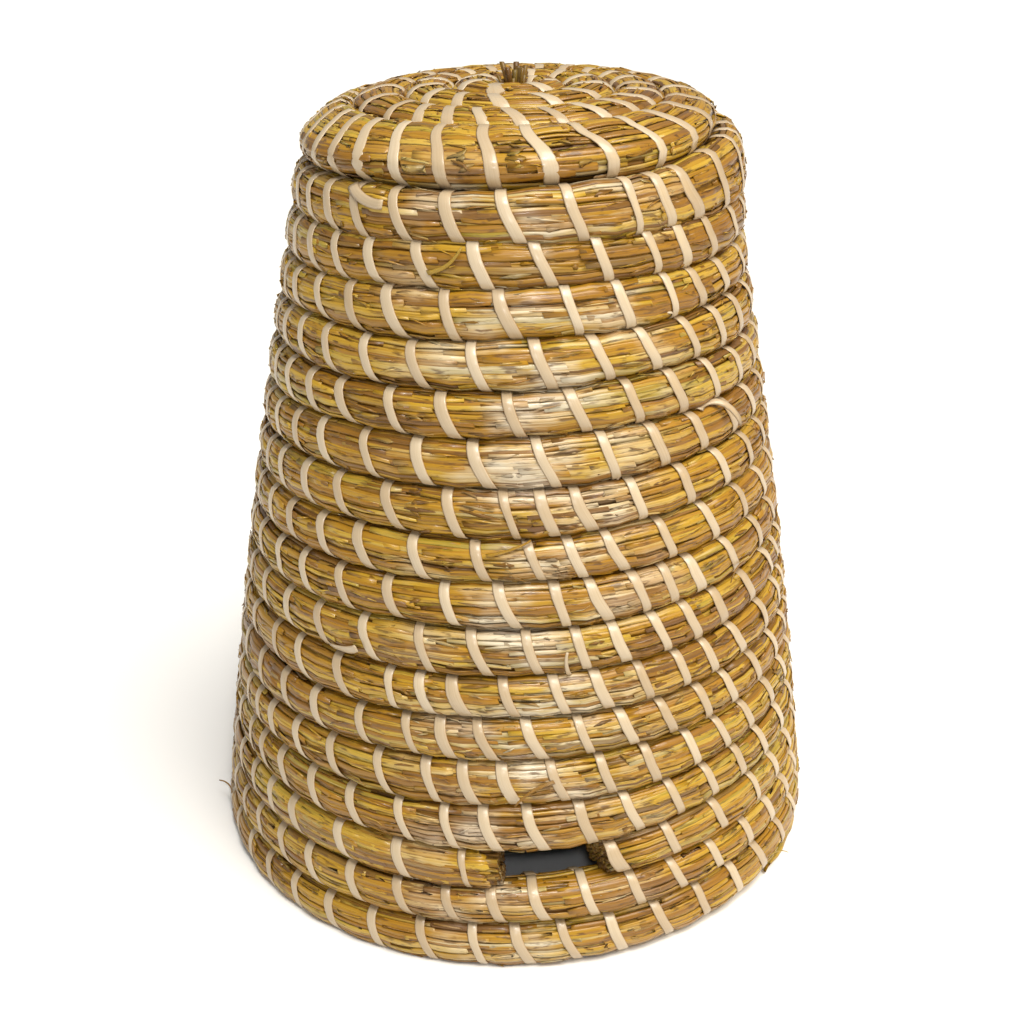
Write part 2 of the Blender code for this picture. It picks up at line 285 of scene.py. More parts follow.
def stitch_angles():
    """Winding angles of the stitches, lowest first.

    They are laid out from the crown down, as the skep was sewn: each one starts beside the end of
    one in the course above, and another goes in where the growing girth leaves too wide a gap.
    """
    chance = np.random.default_rng(SEED)
    angles = [CROWN_TIP + PAST_CROWN_TIP]
    while angles[-1] > angles[0] - TURN:
        angles.append(angles[-1] - min(CROWN_SPACING / rope_radius(angles[-1]), WIDEST_STEP))
    above = 0
    while angles[-1] > FOOT_TIP - PAST_FOOT_TIP:
        higher = angles[above] - TURN
        above += 1
        spacing = CROWN_SPACING if higher > TURN * CROWN_FROM_COURSE else STITCH_SPACING
        radius = max(rope_radius(higher), spacing / 2.0)
        along = STITCH_LEAN + STITCH_BESIDE + STITCH_JITTER * chance.normal()
        wanted = higher + along / (radius + ROPE_HALF_WIDTH)
        even = angles[-1] - spacing / radius
        wanted += EVENNESS * (even - wanted)
        gap = (angles[-1] - wanted) * radius
        if gap < NARROWEST_GAP * spacing:
            continue
        parts = max(1, math.ceil(gap / spacing - WIDEST_GAP_EXCESS))
        step = (angles[-1] - wanted) / parts
        angles += [angles[-1] - step * (part + 1) for part in range(parts)]
    angles = np.array(angles[::-1])
    last_angle, first_angle = beside_entrance()
    last = int(np.searchsorted(angles, last_angle)) - 1
    first = int(np.searchsorted(angles, first_angle))
    angles[last] = last_angle
    angles[first] = first_angle
    evened = ((last - EVENED_STITCHES, last), (last, first), (first, first + EVENED_STITCHES))
    for low, high in evened:
        angles[low : high + 1] = np.linspace(angles[low], angles[high], high - low + 1)
    return angles


STITCHES = stitch_angles()


def stitch_at(angle):
    """The place of a winding angle along the rope, counted in stitches."""
    return float(np.interp(angle, STITCHES, np.arange(len(STITCHES))))


def stitch_near(course, azimuth_degrees):
    """The place along the rope of a course, counted from the foot, at an azimuth."""
    azimuth = math.radians(azimuth_degrees)
    return stitch_at(TURN * course + (azimuth - LANDING_AZIMUTH) % TURN)


# The ends of the rope's two lengths, and the shoulder, counted in stitches
CUT_OVERHANG = 0.30
FOOT_START = stitch_at(FOOT_TIP)
FOOT_END = stitch_at(LOWER_ROPE_END)
WALL_START = stitch_at(UPPER_ROPE_START) - CUT_OVERHANG
CROWN_END = stitch_at(CROWN_TIP)
SHOULDER = stitch_at(TURN * SHOULDER_COURSE)


def misses_straw(angle):
    """Whether a stitch at a winding angle would miss the rope: past an end or in the entrance."""
    if angle < FOOT_TIP + BARE_FOOT_TIP or angle > CROWN_TIP - BARE_CROWN_TIP:
        return True
    last, first = beside_entrance(MARGIN_EASE)
    return rope_radius(angle) < FIRST_SEWN_RADIUS or last < angle < first


def rope_guide():
    """The rope's middle line as a mesh: four points for each stitch, with the rope's size there.

    A point is sewn where a stitch starts, and running where its cane goes on to the next stitch.
    """
    count = GUIDE_STEPS * (len(STITCHES) - 1) + 1
    place = np.arange(count) / GUIDE_STEPS
    angles = np.interp(place, np.arange(len(STITCHES)), STITCHES)
    radius, centre, face_out, face_up, half, wedge = rope_frames(angles)
    outer = radius + ROPE_HALF_WIDTH * np.hypot(face_out[:, 0], face_out[:, 1])
    spacing = np.gradient(angles, place) * outer
    share = np.clip(2.0 * half / ROPE_THICKNESS, 0.0, 1.0)
    holds = np.array([0.0 if misses_straw(angle) else 1.0 for angle in STITCHES])
    sewn = np.zeros(count)
    running = np.zeros(count)
    inner = slice(GUIDE_STEPS, -1, GUIDE_STEPS)
    sewn[inner] = holds[1:-1]
    running[inner] = holds[1:-1] * holds[2:]
    mesh = bpy.data.meshes.new("rope_guide")
    mesh.from_pydata(centre.tolist(), [], [])
    for name, values in (("face_out", face_out), ("face_up", face_up)):
        mesh.attributes.new(name, "FLOAT_VECTOR", "POINT").data.foreach_set("vector", values.ravel())
    numbers = dict(
        half_height=half + ROPE_TOUCH,
        half_width=ROPE_HALF_WIDTH * share**TIP_FULLNESS,
        wedge=wedge,
        stitches_per_metre=1.0 / spacing,
        sewn=sewn,
        running=running,
    )
    for name, values in numbers.items():
        mesh.attributes.new(name, "FLOAT", "POINT").data.foreach_set("value", values)
    return mesh


# Words for building node trees

GEOMETRY = "Geometry"
MATERIAL = "Material"
FLOAT = "Float"
NUMBER_KINDS = {int: "Int", float: FLOAT}


def label_of(word):
    """A word of the script as a panel shows it: first_stitch is First Stitch."""
    return word.replace("_", " ").title()


def plug(tree, value, socket):
    """Links a wire to an input, or sets the input to a plain value."""
    if isinstance(value, Wire):
        tree.links.new(value.socket, socket)
    else:
        socket.default_value = value


def live_socket(sockets, label):
    """The socket with a label among those that the node's settings leave in use."""
    live = [socket for socket in sockets if socket.enabled]
    if isinstance(label, int):
        return live[label]
    return next(socket for socket in live if socket.name == label)


class Wire:
    """A node's output, so that sums in a node tree are written as sums."""

    def __init__(self, tree, socket):
        self.tree = tree
        self.socket = socket

    def worked(self, operation, *others):
        node = self.tree.nodes.new("ShaderNodeMath")
        node.operation = operation
        for socket, value in zip(node.inputs, (self, *others)):
            plug(self.tree, value, socket)
        return Wire(self.tree, node.outputs[0])

    def __add__(self, other):
        return self.worked("ADD", other)

    def __sub__(self, other):
        return self.worked("SUBTRACT", other)

    def __mul__(self, other):
        return self.worked("MULTIPLY", other)

    def __truediv__(self, other):
        return self.worked("DIVIDE", other)

    def clamped(self, low=0.0, high=1.0):
        return self.worked("MAXIMUM", low).worked("MINIMUM", high)

    def above(self, limit, steepness, most=1.0):
        """A mask that rises from nought where a value passes a limit."""
        return ((self - limit) * steepness).clamped(0.0, most)

    def below(self, limit, steepness, most=1.0):
        """A mask that rises from nought where a value falls under a limit."""
        return ((self * -1.0 + limit) * steepness).clamped(0.0, most)

    def varied(self, amount):
        """A value from 0 to 1, made to vary by an amount about nought."""
        return (self - 0.5) * amount

    def turned(self, ahead, aside):
        """Two lengths, ahead and aside, turned by this angle."""
        sine = self.worked("SINE")
        cosine = self.worked("COSINE")
        return cosine * ahead - sine * aside, sine * ahead + cosine * aside


class Bench:
    """A node tree under construction."""

    def __init__(self, name, kind, inputs, outputs):
        self.tree = bpy.data.node_groups.new(name, kind)
        for in_out, sockets in (("INPUT", inputs), ("OUTPUT", outputs)):
            for word, value in sockets.items():
                socket_type = "NodeSocket" + NUMBER_KINDS.get(type(value), str(value))
                face = self.tree.interface
                socket = face.new_socket(label_of(word), in_out=in_out, socket_type=socket_type)
                if type(value) in NUMBER_KINDS:
                    socket.default_value = value
        self.entry = self.tree.nodes.new("NodeGroupInput")
        self.exit = self.tree.nodes.new("NodeGroupOutput")

    def given(self, word):
        return Wire(self.tree, self.entry.outputs[label_of(word)])

    def send(self, **values):
        for word, value in values.items():
            plug(self.tree, value, self.exit.inputs[label_of(word)])

    def node(self, kind, inputs=None, out=0, **settings):
        """Adds a node, with its settings and inputs, and gives one of its outputs."""
        made = self.tree.nodes.new(kind)
        for name, value in settings.items():
            setattr(made, name, value)
        for label, value in (inputs or {}).items():
            plug(self.tree, value, live_socket(made.inputs, label))
        return Wire(self.tree, live_socket(made.outputs, out))

    def outputs(self, made):
        return [Wire(self.tree, output) for output in made.outputs]

    def group(self, tree, **values):
        """Another tree as a node, with some of its inputs set, gives its outputs."""
        made = self.tree.nodes.new(tree.bl_idname.replace("Tree", "Group"))
        made.node_tree = tree
        for word, value in values.items():
            plug(self.tree, value, made.inputs[label_of(word)])
        return self.outputs(made)

    def parts(self, vector):
        made = self.tree.nodes.new("ShaderNodeSeparateXYZ")
        plug(self.tree, vector, made.inputs[0])
        return self.outputs(made)

    def named(self, name, data_type="FLOAT"):
        """An attribute of the geometry that the tree is working on."""
        return self.node("GeometryNodeInputNamedAttribute", {"Name": name}, data_type=data_type)

    def vector(self, x, y, z):
        return self.node("ShaderNodeCombineXYZ", {"X": x, "Y": y, "Z": z})

    def scaled(self, vector, amount):
        return self.node("ShaderNodeVectorMath", {0: vector, "Scale": amount}, operation="SCALE")

    def added(self, first, second):
        return self.node("ShaderNodeVectorMath", {0: first, 1: second}, operation="ADD")

    def noise(self, place, detail, scale=1.0):
        inputs = {"Vector": place, "Scale": scale, "Detail": detail}
        return self.node("ShaderNodeTexNoise", inputs)


class Growth(Bench):
    """A geometry tree that grows something on the rope, with its sizes and their usual values."""

    def __init__(self, name, **sizes):
        inputs = dict(geometry=GEOMETRY, **sizes, material=MATERIAL)
        super().__init__(name, "GeometryNodeTree", inputs, dict(geometry=GEOMETRY))

    def chance(self, low, high, salt):
        """A random number for each point, which changes with the tree's seed."""
        inputs = {"Min": low, "Max": high, "Seed": self.given("seed") + salt}
        return self.node("FunctionNodeRandomValue", inputs, data_type="FLOAT")

    def stored(self, geometry, data_type="FLOAT", **values):
        """Keeps values on a geometry's points, under their own names."""
        for name, value in values.items():
            inputs = {"Geometry": geometry, "Name": name, "Value": value}
            geometry = self.node("GeometryNodeStoreNamedAttribute", inputs, data_type=data_type)
        return geometry

    def fibred(self, geometry, along, across, own):
        """Keeps each point's place along and across its own stalk or strip, for the grain."""
        return self.stored(geometry, "FLOAT_VECTOR", fibre=self.vector(along, across, own))

    def rod(self, sides, rings, length=1.0):
        """A straight closed rod, and the place of each of its points across, over and along it."""
        inputs = {"Vertices": sides, "Side Segments": rings, "Radius": 1.0, "Depth": length}
        rod = self.node("GeometryNodeMeshCylinder", inputs, fill_type="NGON")
        return rod, self.parts(self.node("GeometryNodeInputPosition"))

    def blank(self, sides, rings, length=1.0):
        """A rod marked with each point's place: side and rise from -1 to 1, along from 0."""
        rod, (side, rise, along) = self.rod(sides, rings, length)
        return self.stored(rod, along=along + length / 2.0, side=side, rise=rise)

    def copies(self, points, instance, **choices):
        """Real copies of a blank, one on each point or on the chosen ones."""
        inputs = {"Points": points, "Instance": instance}
        inputs.update({label_of(word): value for word, value in choices.items()})
        copies = self.node("GeometryNodeInstanceOnPoints", inputs)
        return self.node("GeometryNodeRealizeInstances", {"Geometry": copies})

    def placed(self, geometry, position):
        return self.node("GeometryNodeSetPosition", {"Geometry": geometry, "Position": position})

    def on_rope(self, geometry, **place):
        """Moves a geometry's points to their places on the rope."""
        (position,) = self.group(PLACE, guide=self.given("geometry"), **place)
        return self.placed(geometry, position)

    def finished(self, geometry):
        """The end of each tree: real meshes, their shading and their material."""
        inputs = {"Geometry": geometry, "Shade Smooth": True}
        geometry = self.node("GeometryNodeSetShadeSmooth", inputs)
        geometry = self.node("GeometryNodeRealizeInstances", {"Geometry": geometry})
        inputs = {"Geometry": geometry, "Material": self.given("material")}
        self.send(geometry=self.node("GeometryNodeSetMaterial", inputs))
        return self.tree


# The tree that finds places on the rope

def slanted(sine):
    """How far a stitch has leant along the rope, from its top to its foot."""
    return (sine * -0.5 + 0.5).worked("POWER", SLANT_SWEEP) * STITCH_LEAN


OUTSIDE_SPREAD = 2.0
OUTSIDE_SHARE = 0.4
LUMPS_PER_STITCH = 0.9
LUMPS_AROUND = 1.3


def rope_place_tree():
    """From a place in the rope's own terms to a point in space."""
    inputs = dict(guide=GEOMETRY, stitch=0.0, around=0.0, across=0.0, lift=0.0)
    bench = Bench("rope_place", "GeometryNodeTree", inputs, dict(position="Vector"))
    stitch = bench.given("stitch")
    around = bench.given("around")
    sine = around.worked("SINE")
    cosine = around.worked("COSINE")

    def read(value, index, data_type="FLOAT"):
        inputs = {"Geometry": bench.given("guide"), "Value": value, "Index": index}
        return bench.node("GeometryNodeSampleIndex", inputs, data_type=data_type, clamp=True)

    density = read(bench.named("stitches_per_metre"), stitch * GUIDE_STEPS)
    place = (stitch + (bench.given("across") + slanted(sine)) * density) * GUIDE_STEPS
    first = place.worked("FLOOR")
    share = place - first

    def between(value, data_type="FLOAT"):
        """A value of the guide, part of the way from one of its points to the next."""
        ends = [read(value, index, data_type) for index in (first, first + 1.0)]
        inputs = {"Factor": share, "A": ends[0], "B": ends[1]}
        return bench.node("ShaderNodeMix", inputs, data_type=data_type.removeprefix("FLOAT_"))

    def size(name):
        return between(bench.named(name))

    centre = between(bench.node("GeometryNodeInputPosition"), "FLOAT_VECTOR")
    face_out, face_up = (
        between(bench.named(name, "FLOAT_VECTOR"), "FLOAT_VECTOR") for name in ("face_out", "face_up")
    )
    half_height = size("half_height") * (size("wedge") * cosine + 1.0)
    half_width = size("half_width")
    direction = bench.added(bench.scaled(face_out, cosine), bench.scaled(face_up, sine))

    power = SECTION_SQUARENESS
    wide = (cosine.worked("ABSOLUTE") / half_width).worked("POWER", power)
    high = (sine.worked("ABSOLUTE") / half_height).worked("POWER", power)
    radius = (wide + high).worked("POWER", -1.0 / power)
    outside = (cosine * OUTSIDE_SPREAD + OUTSIDE_SHARE).clamped()
    nearness = (stitch * TURN).worked("COSINE") * 0.5 + 0.5
    pinch = nearness * nearness * outside * PINCH_DEPTH
    lump = bench.noise(bench.vector(stitch * LUMPS_PER_STITCH, around * LUMPS_AROUND, 0.0), 2.0)
    radius = radius - pinch + lump.varied(LUMP_HEIGHT) * 2.0

    x, y, z = bench.parts(bench.added(centre, bench.scaled(direction, radius)))
    surface = bench.vector(x, y, z.worked("MAXIMUM", GROUND_CLEARANCE))
    bench.send(position=bench.added(surface, bench.scaled(direction, bench.given("lift"))))
    return bench.tree


PLACE = rope_place_tree()


# The trees that lay things on the rope

LONGEST_STRAW = 6
AT_THE_END = 0.01
FLOW_ALONG = 0.4
FLOW_AROUND = 0.8
FLOW_PLACE = 3.0


def straw_tree():
    """Lays stalks along the rope, in lanes round its section, over one stretch of it.

    Lengths along the rope are counted in stitches. A stalk runs from stitch to stitch, its tips
    stand off by up to Tip Lift, and both ends of the rope are cut slanting by their bevels.
    """
    bench = Growth(
        "laid_straw",
        first_stitch=0.0, last_stitch=1.0, rope_start=0.0, rope_end=1.0,
        from_around=-1.5, to_around=1.5, lanes=16, lane_step=2.5,
        width=0.0024, thickness=0.0011, lowest=-0.0003, highest=0.0003, slope=0.06, wander=0.07,
        tip_from=-0.04, tip_to=0.24, tip_lift=0.0004, tip_taper=0.3,
        fray=0.12, start_bevel=0.0, end_bevel=0.0,
        starts_each_stitch=2, shortest=2, longest=5, steps=2, sides=6, seed=1,
    )
    given, named, chance = bench.given, bench.named, bench.chance
    lanes = given("lanes")
    lane_step = given("lane_step")
    ranks = ((given("last_stitch") - given("first_stitch")) / lane_step).worked("CEIL")
    index = bench.node("GeometryNodeInputIndex")
    lane = index.worked("FLOORED_MODULO", lanes)
    rank = (index / lanes).worked("FLOOR")
    starts = given("starts_each_stitch")
    length = chance(given("shortest") - 0.49, given("longest") + 0.49, 1).worked("ROUND")
    start = given("first_stitch") + (rank + chance(-0.5, 0.5, 2)) * lane_step
    start = (start * starts).worked("FLOOR") / starts
    spread = given("to_around") - given("from_around")
    around = given("from_around") + (lane + chance(0.05, 0.95, 5)) / lanes * spread
    depth = chance(given("lowest"), given("highest"), 8)
    outward = around.worked("COSINE") * (depth / ROPE_HALF_WIDTH + 1.0) * 0.5 + 0.5
    slant = slanted(around.worked("SINE")) / STITCH_SPACING
    first_end = given("rope_start") + outward * given("start_bevel") - slant
    last_end = given("rope_end") - outward * given("end_bevel") - slant
    latest = last_end - length - chance(-0.3, 1.0, 3) * given("fray")
    earliest = first_end + chance(-0.3, 1.0, 4) * given("fray")

    points = bench.stored(
        bench.node("GeometryNodePoints", {"Count": lanes * ranks}),
        start=start.worked("MINIMUM", latest).worked("MAXIMUM", earliest),
        length=length,
        way=around,
        slope=chance(-1.0, 1.0, 6) * given("slope"),
        width=chance(0.6, 1.45, 7) * given("width"),
        lift=depth,
        first_end=first_end,
        last_end=last_end,
        first_tip=chance(given("tip_from"), given("tip_to"), 9),
        last_tip=chance(given("tip_from"), given("tip_to"), 10) * -1.0,
        tip_lift=chance(-0.3, 1.0, 11) * given("tip_lift"),
        tone=chance(0.0, 1.0, 12),
        age=chance(0.0, 1.0, 13),
    )
    blanks = bench.tree.nodes.new("GeometryNodeJoinGeometry")
    for stitches in range(LONGEST_STRAW, 0, -1):
        blank = bench.blank(given("sides"), given("steps") * float(stitches), float(stitches))
        blank = bench.node("GeometryNodeGeometryToInstance", {"Geometry": blank})
        bench.tree.links.new(blank.socket, blanks.inputs[0])
    blanks = Wire(bench.tree, blanks.outputs[0])
    pick = (named("length") - 1.0).worked("ROUND")
    stalks = bench.copies(points, blanks, pick_instance=True, instance_index=pick)

    along = named("along")
    at_first = along.worked("LESS_THAN", AT_THE_END)
    at_last = (named("length") - along).worked("LESS_THAN", AT_THE_END)
    at_tip = at_first + at_last
    stitch = named("start") + along
    stitch = stitch + at_first * named("first_tip") + at_last * named("last_tip")
    stitch = stitch.worked("MAXIMUM", named("first_end")).worked("MINIMUM", named("last_end"))
    reach = along - named("length") * 0.5
    narrow = at_tip * given("tip_taper") * -1.0 + 1.0
    turned = named("side") * named("width") * narrow / (2.0 * ROPE_HALF_WIDTH)
    flow = bench.noise(bench.vector(stitch * FLOW_ALONG, named("way") * FLOW_AROUND, FLOW_PLACE), 1.0)
    turned = turned + flow.varied(given("wander")) * 2.0
    way = named("way") + named("slope") * reach + turned
    rise = named("rise") * given("thickness") * 0.5
    lift = named("lift") + rise + at_tip * named("tip_lift")
    stalks = bench.on_rope(stalks, stitch=stitch, around=way, lift=lift)
    own = named("tone") * 10.0
    return bench.finished(bench.fibred(stalks, stitch * STITCH_SPACING, way * ROPE_HALF_WIDTH, own))


def core_tree():
    """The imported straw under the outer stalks, as one closed tube along the rope."""
    bench = Growth("rope_core", rope_start=0.0, rope_end=1.0, rings=100, sides=20, lift=-0.0012)
    tube, (x, y, z) = bench.rod(bench.given("sides"), bench.given("rings"))
    rope_start = bench.given("rope_start")
    length = bench.given("rope_end") - rope_start
    tube = bench.stored(tube, stitch=rope_start + (z + 0.5) * length, way=y.worked("ARCTAN2", x))
    stitch = bench.named("stitch")
    way = bench.named("way")
    tube = bench.on_rope(tube, stitch=stitch, around=way, lift=bench.given("lift"))
    return bench.finished(bench.fibred(tube, stitch * STITCH_SPACING, way * ROPE_HALF_WIDTH, 0.0))


# A stitch is one turn of cane: most of its rings lie on the outside, its edges are rounded off
CANE_WIDTH = 0.0068
CANE_THICKNESS = 0.0009
CANE_LIFT = 0.0013
CANE_SWING = 0.0022
CANE_TURN_LENGTH = 0.085
CANE_TOP = math.radians(100.0)
CANE_BOTTOM = (CANE_TOP + math.pi / 2.0) / TURN
CANE_RINGS = 18
CANE_SIDES = 6
CANE_RINGS_OUTSIDE = 0.66
CANE_ROUNDING = 0.7


def cane_blank(bench):
    """A straight strip of cane: along runs from 0 to 1, side from -1 to 1."""
    blank, (side, rise, ring) = bench.rod(CANE_SIDES, CANE_RINGS)
    side = side * (1.0 + CANE_ROUNDING) - side * side * side * CANE_ROUNDING
    ring = ring + 0.5
    outer = ring.clamped(0.0, CANE_RINGS_OUTSIDE) * (0.5 / CANE_RINGS_OUTSIDE)
    inner = (ring - CANE_RINGS_OUTSIDE).clamped() * (0.5 / (1.0 - CANE_RINGS_OUTSIDE))
    return bench.stored(blank, along=outer + inner, side=side, rise=rise)


def stitch_tree():
    """One turn of cane round the rope for each sewn place of the guide."""
    bench = Growth(
        "cane_stitches",
        first_stitch=0.0, last_stitch=1.0,
        width=CANE_WIDTH, thickness=CANE_THICKNESS, lift=CANE_LIFT, swing=CANE_SWING, seed=1,
    )
    given, named, chance = bench.given, bench.named, bench.chance
    place = bench.node("GeometryNodeInputIndex") / float(GUIDE_STEPS)
    past_first = place.worked("GREATER_THAN", given("first_stitch"))
    inside = past_first * place.worked("LESS_THAN", given("last_stitch"))
    points = bench.stored(
        given("geometry"),
        start=place,
        width=chance(0.9, 1.08, 1) * given("width"),
        swing=chance(-1.0, 1.0, 2) * given("swing"),
        tone=chance(0.0, 1.0, 3),
    )
    chosen = (named("sewn") * inside).worked("GREATER_THAN", 0.5)
    canes = bench.copies(points, cane_blank(bench), selection=chosen)
    along = named("along")
    way = along * -TURN + CANE_TOP
    inner = ((along - CANE_BOTTOM) / (1.0 - CANE_BOTTOM)).clamped()
    inner = inner * inner * (inner * -2.0 + 3.0) * named("running")
    lean = way.worked("SINE") * -0.5 + 0.5
    canes = bench.on_rope(
        canes,
        stitch=named("start") + inner,
        around=way,
        across=named("side") * named("width") * 0.5 + lean.varied(named("swing")),
        lift=given("lift") + named("rise") * given("thickness") * 0.5,
    )
    canes = bench.fibred(canes, along * CANE_TURN_LENGTH, named("side") * 0.5, named("tone") * 10.0)
    return bench.finished(canes)


TAIL_SIDES = 6


def tail_tree():
    """One loose end of cane or straw: it leaves the rope's surface and narrows to its tip."""
    bench = Growth(
        "loose_tail",
        stitch=0.0, around=0.0, direction=0.0, length=0.018, width=0.005, thickness=0.0008,
        base_lift=0.0020, tip_lift=0.004, bend=0.0, tip_width=0.25, rings=9, tone=0.5,
    )
    given, named = bench.given, bench.named
    strip = bench.blank(TAIL_SIDES, given("rings"))
    along = named("along")
    narrow = (given("tip_width") - 1.0) * along + 1.0
    aside = named("side") * given("width") * narrow * 0.5
    course = given("direction") + given("bend") * along
    run = along * given("length")
    across, climb = course.turned(run, aside)
    lift = given("base_lift") + given("tip_lift") * along * along
    strip = bench.on_rope(
        strip,
        stitch=given("stitch"),
        around=given("around") + climb / ROPE_HALF_WIDTH,
        across=across,
        lift=lift + named("rise") * given("thickness") * 0.5,
    )
    strip = bench.fibred(strip, run, named("side") * 0.5, given("tone") * 10.0)
    return bench.finished(bench.stored(strip, tone=given("tone")))


TUFT_SIDES = 6
TUFT_RINGS = 4
TUFT_FLARE = 0.35
TUFT_BEND_OUT = 0.3
TUFT_BEND_DOWN = 0.45


def tuft_tree():
    """Cut straw ends standing in a ring and leaning out of it, like a bristly knot."""
    bench = Growth(
        "straw_tuft",
        stalks=26, ring_radius=0.0052, length=0.017, straw_radius=0.0016, spread=0.22,
        base_height=0.0, lean=0.003, seed=80,
    )
    given, named, chance = bench.given, bench.named, bench.chance
    points = bench.stored(
        bench.node("GeometryNodePoints", {"Count": given("stalks")}),
        way=chance(0.0, TURN, 1),
        share=chance(0.0, 1.0, 2).worked("SQRT"),
        reach=chance(0.7, 1.1, 3) * given("length"),
        thickness=chance(0.7, 1.3, 4) * given("straw_radius"),
        lean=chance(0.2, 1.0, 5) * given("spread"),
        tone=chance(0.0, 1.0, 6),
        age=chance(0.0, 1.0, 7),
        twist=chance(-0.5, 0.5, 8),
    )
    tuft = bench.copies(points, bench.blank(TUFT_SIDES, TUFT_RINGS))
    along = named("along")
    share = named("share")
    bend = along * along * named("lean") * named("reach")
    out = share * given("ring_radius") * (along * TUFT_FLARE + (1.0 - TUFT_FLARE))
    out = out + bend * (share + TUFT_BEND_OUT) + named("rise") * named("thickness")
    way = named("way") + named("twist") * along
    x, y = way.turned(out, named("side") * named("thickness"))
    x = x - along * along * given("lean")
    z = given("base_height") + along * named("reach") - bend * TUFT_BEND_DOWN
    tuft = bench.placed(tuft, bench.vector(x, y, z))
    tuft = bench.fibred(tuft, along * named("reach"), named("side") * 0.001, named("tone") * 10.0)
    return bench.finished(tuft)


# Materials

PATCHES_PER_METRE = 9.0
BLOTCH_WIDER = 4.0
BLOTCH_LEVEL = 0.56
BLOTCH_CONTRAST = 9.0


def fibre_parts(bench):
    """A point's place along and across its own stalk or strip, and a number of that one's own."""
    return bench.parts(bench.node("ShaderNodeAttribute", out="Vector", attribute_name="fibre"))


def object_place(bench):
    return bench.node("ShaderNodeTexCoord", out="Object")


def grain_group():
    """Fine streaks along the fibre, and the blotches and dark specks of dry stalks."""
    sizes = dict(along_scale=40.0, across_scale=1100.0, blotch_scale=110.0, blotch_amount=0.75)
    outputs = dict(streak=FLOAT, blotch=FLOAT, patch=FLOAT)
    bench = Bench("fibre_grain", "ShaderNodeTree", sizes, outputs)
    along, across, own = fibre_parts(bench)
    place = bench.vector(along * bench.given("along_scale"), across * bench.given("across_scale"), own)
    blotch_place = bench.vector(along, across * BLOTCH_WIDER, own)
    blotch = bench.noise(blotch_place, 3.0, bench.given("blotch_scale"))
    bench.send(
        streak=bench.noise(place, 3.0),
        blotch=blotch.above(BLOTCH_LEVEL, BLOTCH_CONTRAST) * bench.given("blotch_amount"),
        patch=bench.noise(object_place(bench), 2.0, PATCHES_PER_METRE),
    )
    return bench.tree


GRAIN = grain_group()


class Paint(Bench):
    """A material's own node tree, with the same words as the other trees."""

    def __init__(self, name):
        self.material = bpy.data.materials.new(name)
        self.material.use_nodes = True
        self.tree = self.material.node_tree
        self.shader = self.tree.nodes["Principled BSDF"]

    def set(self, label, value):
        plug(self.tree, value, self.shader.inputs[label])

    def ramp(self, factor, stops):
        """A colour from a range of colours, by a value from 0 to 1."""
        made = self.tree.nodes.new("ShaderNodeValToRGB")
        plug(self.tree, factor.clamped(), made.inputs[0])
        elements = made.color_ramp.elements
        for place, colour in stops[1:-1]:
            elements.new(place).color = (*colour, 1.0)
        for end in (0, -1):
            elements[end].position = stops[end][0]
            elements[end].color = (*stops[end][1], 1.0)
        return Wire(self.tree, made.outputs[0])

    def mixed(self, factor, first, colour):
        inputs = {"Factor": factor, "A": first, "B": (*colour, 1.0)}
        return self.node("ShaderNodeMix", inputs, data_type="RGBA", blend_type="MIX")

    def attribute(self, name):
        return self.node("ShaderNodeAttribute", out="Fac", attribute_name=name)

    def finished(self, colour, roughness, coat, coat_roughness):
        self.set("Base Color", colour)
        self.set("Roughness", roughness)
        self.set("Coat Weight", coat)
        self.set("Coat Roughness", coat_roughness)
        return self.material

    def bumped(self, height, distance, strength):
        inputs = {"Height": height, "Distance": distance, "Strength": strength}
        self.set("Normal", self.node("ShaderNodeBump", inputs))


# Straw, from the brownest stalk to the palest, what darkens it, and the painted shade and painted sheen on
# it
STRAW_COLOURS = (
    (0.00, (0.115, 0.050, 0.010)),
    (0.10, (0.190, 0.085, 0.011)),
    (0.24, (0.270, 0.122, 0.007)),
    (0.42, (0.350, 0.172, 0.008)),
    (0.60, (0.420, 0.236, 0.011)),
    (0.76, (0.500, 0.320, 0.034)),
    (0.86, (0.300, 0.214, 0.015)),
    (0.93, (0.390, 0.276, 0.060)),
    (1.00, (0.580, 0.440, 0.170)),
)
PAINTED_SHEEN_COLOUR = (0.670, 0.600, 0.470)
SPECK = (0.085, 0.036, 0.010)
STREAK_LINE = (0.190, 0.092, 0.024)
STALK_EDGE_SHADE = (0.155, 0.072, 0.016)
OLD_STALK = (0.140, 0.062, 0.015)
SHADED_STALK = (0.060, 0.028, 0.008)
CORE_SHADE = (0.100, 0.045, 0.012)
BANDS_PER_METRE = 380.0
SHEEN_MIDDLE = 0.012
SHEEN_HALF_WIDTH = 0.090
SHEEN_TOP = 0.472
SHEEN_FADE = 0.020
SHEEN_LEVEL = 0.48
SHEEN_CONTRAST = 3.4
SHEEN_MOST = 0.85
SHEEN_ELSEWHERE = 0.04
SHEEN_PATCHES_ACROSS = 22.0
SHEEN_PATCHES_UP = 40.0


def front_bleach(paint, streak):
    """Painted sheen: how far a stalk is whitened as a highlight would whiten it, in patches, mostly in the
    middle of the front.
    """
    x, y, z = paint.parts(object_place(paint))
    off_middle = (x - SHEEN_MIDDLE) / SHEEN_HALF_WIDTH
    middle = (off_middle * off_middle * -1.0 + 1.0).clamped() * y.worked("LESS_THAN", 0.0)
    across = SHEEN_PATCHES_ACROSS
    patch = paint.noise(paint.vector(x * across, y * across, z * SHEEN_PATCHES_UP), 3.0)
    share = (patch - SHEEN_LEVEL) * SHEEN_CONTRAST
    share = share + paint.attribute("tone").varied(0.7) + streak.varied(0.8)
    below_top = ((z * -1.0 + SHEEN_TOP) / SHEEN_FADE).clamped()
    where = middle * (1.0 - SHEEN_ELSEWHERE) + SHEEN_ELSEWHERE
    return share.clamped(0.0, SHEEN_MOST) * where * below_top


